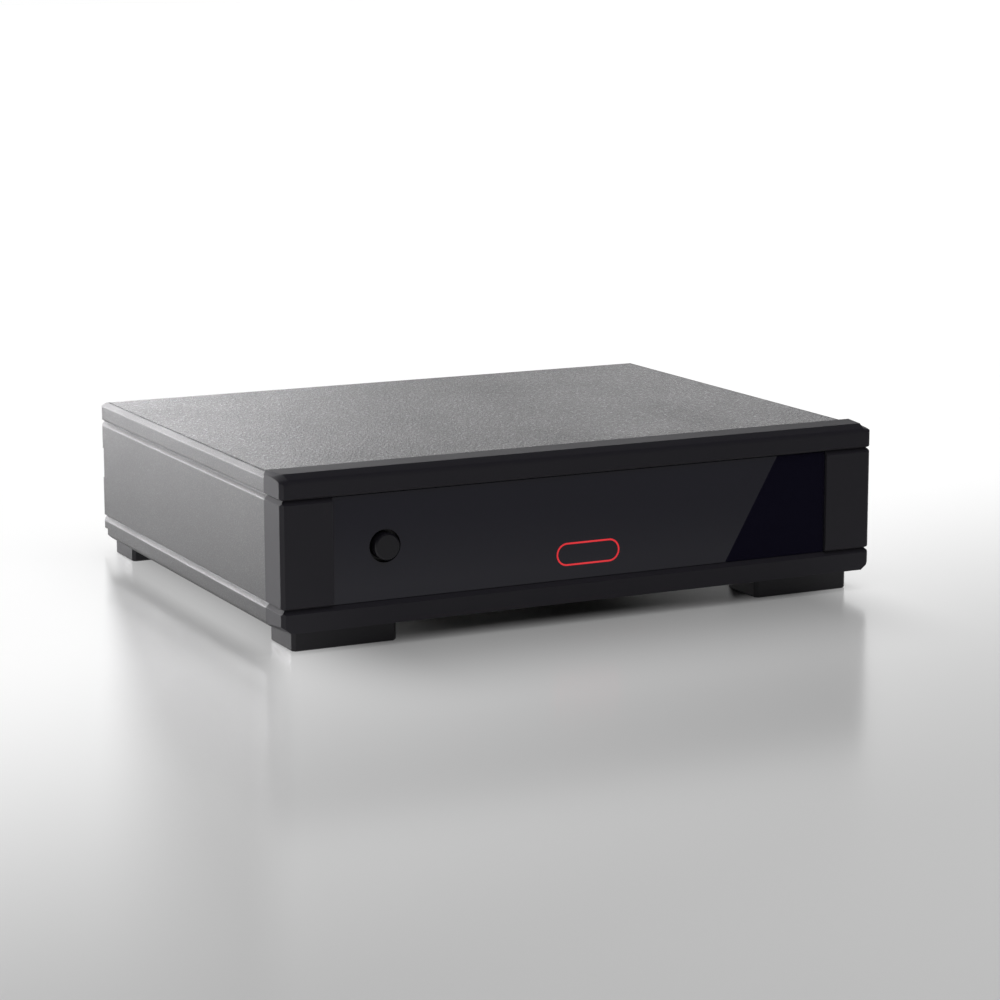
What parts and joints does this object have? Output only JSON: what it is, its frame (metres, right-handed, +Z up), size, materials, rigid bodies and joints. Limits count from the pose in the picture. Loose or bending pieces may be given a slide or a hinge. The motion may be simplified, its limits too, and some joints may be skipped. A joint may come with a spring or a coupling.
{
  "type": "phono preamp",
  "caption": "Low half-width hi-fi phono preamp with a grooved case, gloss fascia, front push button, rear phono sockets and block feet.",
  "frame": {"origin": "on the surface under the feet, at the centre of the whole part seen from above", "axes": "+X to the right seen from the front, +Y from the front to the rear, +Z up; the front faces -Y"},
  "size_m": [0.18, 0.1544, 0.0478],
  "materials": {
    "textured_powder_coat": "coarse grained black powder coat",
    "satin_powder_coat": "fine black powder coat",
    "bezel_plastic": "satin black moulding",
    "gloss_acrylic": "polished dark acrylic",
    "foot_rubber": "matte moulded",
    "black_steel": "black oxide",
    "zinc_steel": "zinc plated",
    "button_plastic": "satin black",
    "inner_plastic": "moulded black",
    "white_plastic": "moulded white",
    "red_lamp": "lit red acrylic",
    "clear_guide": "clear acrylic",
    "board_green": "solder mask on glass fibre",
    "nickel": "nickel plated brass",
    "gold_plate": "gold plated brass",
    "anodised_sink": "black anodised",
    "component_black": "moulded epoxy",
    "resistor_blue": "lacquered metal film",
    "capacitor_sleeve": "shrink sleeve",
    "film_red": "epoxy dipped film"
  },
  "bodies": {
    "chassis": {"base_plate": "satin_powder_coat", "base_screws": "black_steel", "board_resistors": "resistor_blue", "board_screws": "zinc_steel", "board_standoffs": "zinc_steel", "button_guide": "inner_plastic", "dc_inlet": "inner_plastic", "dc_inlet_nut": "nickel", "dc_inlet_pin": "nickel", "fascia_panel": "gloss_acrylic", "film_capacitor_1": "film_red", "film_capacitor_2": "film_red", "film_capacitor_3": "film_red", "film_capacitor_4": "film_red", "foot_front_left": "foot_rubber", "foot_front_right": "foot_rubber", "foot_rear_left": "foot_rubber", "foot_rear_right": "foot_rubber", "foot_screws": "black_steel", "front_bezel": "bezel_plastic", "ground_lock_nut": "zinc_steel", "ground_stud": "gold_plate", "input_left_contact": "gold_plate", "input_left_shell": "gold_plate", "input_right_contact": "gold_plate", "input_right_shell": "gold_plate", "input_socket_block": "inner_plastic", "lamp_led": "red_lamp", "lamp_light_guide": "clear_guide", "lamp_window": "red_lamp", "lid_nuts": "zinc_steel", "main_board": "board_green", "output_left_contact": "gold_plate", "output_left_shell": "gold_plate", "output_relay": "white_plastic", "output_right_contact": "gold_plate", "output_right_shell": "gold_plate", "output_socket_block": "inner_plastic", "power_switch": "inner_plastic", "rear_panel": "satin_powder_coat", "rear_panel_screws": "black_steel", "regulator": "component_black", "regulator_heat_sink": "anodised_sink", "reservoir_capacitor_1": "capacitor_sleeve", "reservoir_capacitor_2": "capacitor_sleeve", "reservoir_capacitor_3": "capacitor_sleeve", "reservoir_capacitor_4": "capacitor_sleeve", "side_rail_left": "satin_powder_coat", "side_rail_right": "satin_powder_coat", "signal_chip_left": "component_black", "signal_chip_right": "component_black", "socket_block_screws": "black_steel", "switch_spring": "zinc_steel", "top_plate": "textured_powder_coat"},
    "power_button": {"button_cap": "button_plastic", "push_rod": "inner_plastic", "switch_plunger": "white_plastic"},
    "ground_washer": {"ground_washer": "gold_plate"},
    "ground_thumb_nut": {"ground_thumb_nut": "gold_plate"}
  },
  "joints": [
    {"name": "power_button_slide", "type": "slide", "parent": "chassis", "child": "power_button", "axis": [0, 1, 0], "range_m": [0, 0.0025], "stiffness_N_per_m": 500, "springref_m": -0.0015, "deforming": ["switch_spring"]},
    {"name": "ground_washer_slide", "type": "slide", "parent": "chassis", "child": "ground_washer", "axis": [0, 1, 0], "range_m": [0, 0.0028]},
    {"name": "ground_nut_turn", "type": "hinge", "parent": "ground_washer", "child": "ground_thumb_nut", "pos_m": [0.069, 0.07068, 0.0267], "axis": [0, 1, 0], "range_deg": [0, 1441]}
  ],
  "couplings": [
    {"joint": "ground_nut_turn", "follows": "ground_washer_slide", "rad_per_m": 8976}
  ]
}
